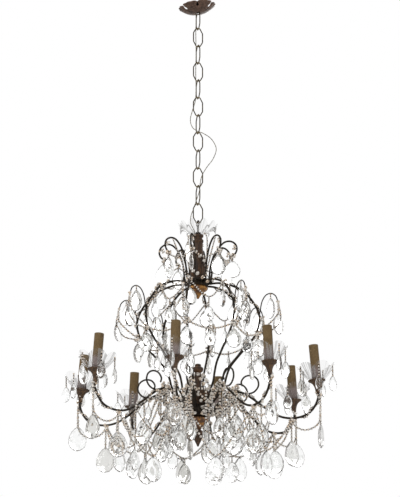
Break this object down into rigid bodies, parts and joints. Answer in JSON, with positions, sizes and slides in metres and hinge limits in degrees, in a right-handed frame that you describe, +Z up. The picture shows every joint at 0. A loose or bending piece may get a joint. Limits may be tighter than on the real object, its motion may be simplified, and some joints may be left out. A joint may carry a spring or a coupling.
{
  "type": "glass-drop chandelier on a chain",
  "caption": "Hanging glass-drop chandelier with curved arms, candle sleeves in petalled glass dishes, a wire cage, bead garlands and a chain to a ceiling hook.",
  "frame": {"origin": "on the ceiling, at the middle of the hook plate's flat top", "axes": "+Z up into the ceiling along the chain's axis; -Y towards the viewer of the picture; +X to the viewer's right"},
  "size_m": [0.7624, 0.7624, 1.45],
  "materials": {
    "iron": "nearly black brown painted iron wire, worn and dull",
    "chain_bronze": "olive-brown darkened bronze finish, satin",
    "sheet_metal": "rust-brown pressed sheet, matt with worn edges",
    "turned_wood": "dark brown stained turned wood, low sheen",
    "gilding": "amber gilding, soft metallic shine",
    "clear_glass": "clear cut glass with slight lilac and grey tints",
    "card": "olive-tan card tube, matt",
    "cable": "pale grey-tan twisted flex, matt",
    "porcelain": "off-white glazed porcelain"
  },
  "bodies": {
    "ceiling_hook": {"hook_plate": "iron", "terminal_block": "porcelain", "flex": "cable"},
    "chain_link_01": {"link_01": "chain_bronze", "canopy": "sheet_metal"},
    "chain_link_02": {"link_02": "chain_bronze"},
    "chain_link_03": {"link_03": "chain_bronze"},
    "chain_link_04": {"link_04": "chain_bronze"},
    "chain_link_05": {"link_05": "chain_bronze"},
    "chain_link_06": {"link_06": "chain_bronze"},
    "chain_link_07": {"link_07": "chain_bronze"},
    "chain_link_08": {"link_08": "chain_bronze"},
    "chain_link_09": {"link_09": "chain_bronze"},
    "chain_link_10": {"link_10": "chain_bronze"},
    "chain_link_11": {"link_11": "chain_bronze"},
    "chain_link_12": {"link_12": "chain_bronze"},
    "chandelier": {"hanging_eye": "iron", "crown_glass": "clear_glass", "upper_column": "turned_wood", "scroll_crown": "iron", "cage_frame": "iron", "gilded_cone": "gilding", "spindle": "turned_wood", "bottom_finial": "gilding", "lower_garland": "clear_glass", "bead_basket": "clear_glass", "upper_garland": "clear_glass", "top_garland": "clear_glass", "arm_1": "iron", "arm_2": "iron", "arm_3": "iron", "arm_4": "iron", "arm_5": "iron", "arm_6": "iron", "arm_7": "iron", "arm_8": "iron", "cup_1": "turned_wood", "cup_2": "turned_wood", "cup_3": "turned_wood", "cup_4": "turned_wood", "cup_5": "turned_wood", "cup_6": "turned_wood", "cup_7": "turned_wood", "cup_8": "turned_wood", "glass_dish_1": "clear_glass", "glass_dish_2": "clear_glass", "glass_dish_3": "clear_glass", "glass_dish_4": "clear_glass", "glass_dish_5": "clear_glass", "glass_dish_6": "clear_glass", "glass_dish_7": "clear_glass", "glass_dish_8": "clear_glass"},
    "sleeve_1": {"candle_sleeve_1": "card"},
    "sleeve_2": {"candle_sleeve_2": "card"},
    "sleeve_3": {"candle_sleeve_3": "card"},
    "sleeve_4": {"candle_sleeve_4": "card"},
    "sleeve_5": {"candle_sleeve_5": "card"},
    "sleeve_6": {"candle_sleeve_6": "card"},
    "sleeve_7": {"candle_sleeve_7": "card"},
    "sleeve_8": {"candle_sleeve_8": "card"}
  },
  "joints": [
    {"name": "link_01_swing", "type": "hinge", "parent": "ceiling_hook", "child": "chain_link_01", "pos_m": [0, 0, -0.0269], "axis": [0.9272, 0.3746, 0], "range_deg": [-4, 4], "deforming": ["flex"]},
    {"name": "link_02_swing", "type": "hinge", "parent": "chain_link_01", "child": "chain_link_02", "pos_m": [0, 0, -0.0802], "axis": [-0.3746, 0.9272, 0], "range_deg": [-15, 15], "deforming": ["flex"]},
    {"name": "link_03_swing", "type": "hinge", "parent": "chain_link_02", "child": "chain_link_03", "pos_m": [0, 0, -0.1339], "axis": [0.9272, 0.3746, 0], "range_deg": [-15, 15], "deforming": ["flex"]},
    {"name": "link_04_swing", "type": "hinge", "parent": "chain_link_03", "child": "chain_link_04", "pos_m": [0, 0, -0.1876], "axis": [-0.3746, 0.9272, 0], "range_deg": [-15, 15], "deforming": ["flex"]},
    {"name": "link_05_swing", "type": "hinge", "parent": "chain_link_04", "child": "chain_link_05", "pos_m": [0, 0, -0.2413], "axis": [0.9272, 0.3746, 0], "range_deg": [-15, 15], "deforming": ["flex"]},
    {"name": "link_06_swing", "type": "hinge", "parent": "chain_link_05", "child": "chain_link_06", "pos_m": [0, 0, -0.295], "axis": [-0.3746, 0.9272, 0], "range_deg": [-15, 15], "deforming": ["flex"]},
    {"name": "link_07_swing", "type": "hinge", "parent": "chain_link_06", "child": "chain_link_07", "pos_m": [0, 0, -0.3487], "axis": [0.9272, 0.3746, 0], "range_deg": [-15, 15], "deforming": ["flex"]},
    {"name": "link_08_swing", "type": "hinge", "parent": "chain_link_07", "child": "chain_link_08", "pos_m": [0, 0, -0.4024], "axis": [-0.3746, 0.9272, 0], "range_deg": [-15, 15], "deforming": ["flex"]},
    {"name": "link_09_swing", "type": "hinge", "parent": "chain_link_08", "child": "chain_link_09", "pos_m": [0, 0, -0.4561], "axis": [0.9272, 0.3746, 0], "range_deg": [-15, 15], "deforming": ["flex"]},
    {"name": "link_10_swing", "type": "hinge", "parent": "chain_link_09", "child": "chain_link_10", "pos_m": [0, 0, -0.5098], "axis": [-0.3746, 0.9272, 0], "range_deg": [-15, 15], "deforming": ["flex"]},
    {"name": "link_11_swing", "type": "hinge", "parent": "chain_link_10", "child": "chain_link_11", "pos_m": [0, 0, -0.5635], "axis": [0.9272, 0.3746, 0], "range_deg": [-15, 15], "deforming": ["flex"]},
    {"name": "link_12_swing", "type": "hinge", "parent": "chain_link_11", "child": "chain_link_12", "pos_m": [0, 0, -0.6172], "axis": [-0.3746, 0.9272, 0], "range_deg": [-15, 15], "deforming": ["flex"]},
    {"name": "chandelier_swing", "type": "hinge", "parent": "chain_link_12", "child": "chandelier", "pos_m": [0, 0, -0.6709], "axis": [0.9272, 0.3746, 0], "range_deg": [-15, 15], "deforming": ["flex"]},
    {"name": "sleeve_1_lift", "type": "slide", "parent": "chandelier", "child": "sleeve_1", "axis": [0.014, 0.0772, 0.9969], "range_m": [0, 0.095]},
    {"name": "sleeve_2_lift", "type": "slide", "parent": "chandelier", "child": "sleeve_2", "axis": [-0.0447, 0.0645, 0.9969], "range_m": [0, 0.095]},
    {"name": "sleeve_3_lift", "type": "slide", "parent": "chandelier", "child": "sleeve_3", "axis": [-0.0772, 0.014, 0.9969], "range_m": [0, 0.095]},
    {"name": "sleeve_4_lift", "type": "slide", "parent": "chandelier", "child": "sleeve_4", "axis": [-0.0645, -0.0447, 0.9969], "range_m": [0, 0.095]},
    {"name": "sleeve_5_lift", "type": "slide", "parent": "chandelier", "child": "sleeve_5", "axis": [-0.014, -0.0772, 0.9969], "range_m": [0, 0.095]},
    {"name": "sleeve_6_lift", "type": "slide", "parent": "chandelier", "child": "sleeve_6", "axis": [0.0447, -0.0645, 0.9969], "range_m": [0, 0.095]},
    {"name": "sleeve_7_lift", "type": "slide", "parent": "chandelier", "child": "sleeve_7", "axis": [0.0772, -0.014, 0.9969], "range_m": [0, 0.095]},
    {"name": "sleeve_8_lift", "type": "slide", "parent": "chandelier", "child": "sleeve_8", "axis": [0.0645, 0.0447, 0.9969], "range_m": [0, 0.095]}
  ]
}
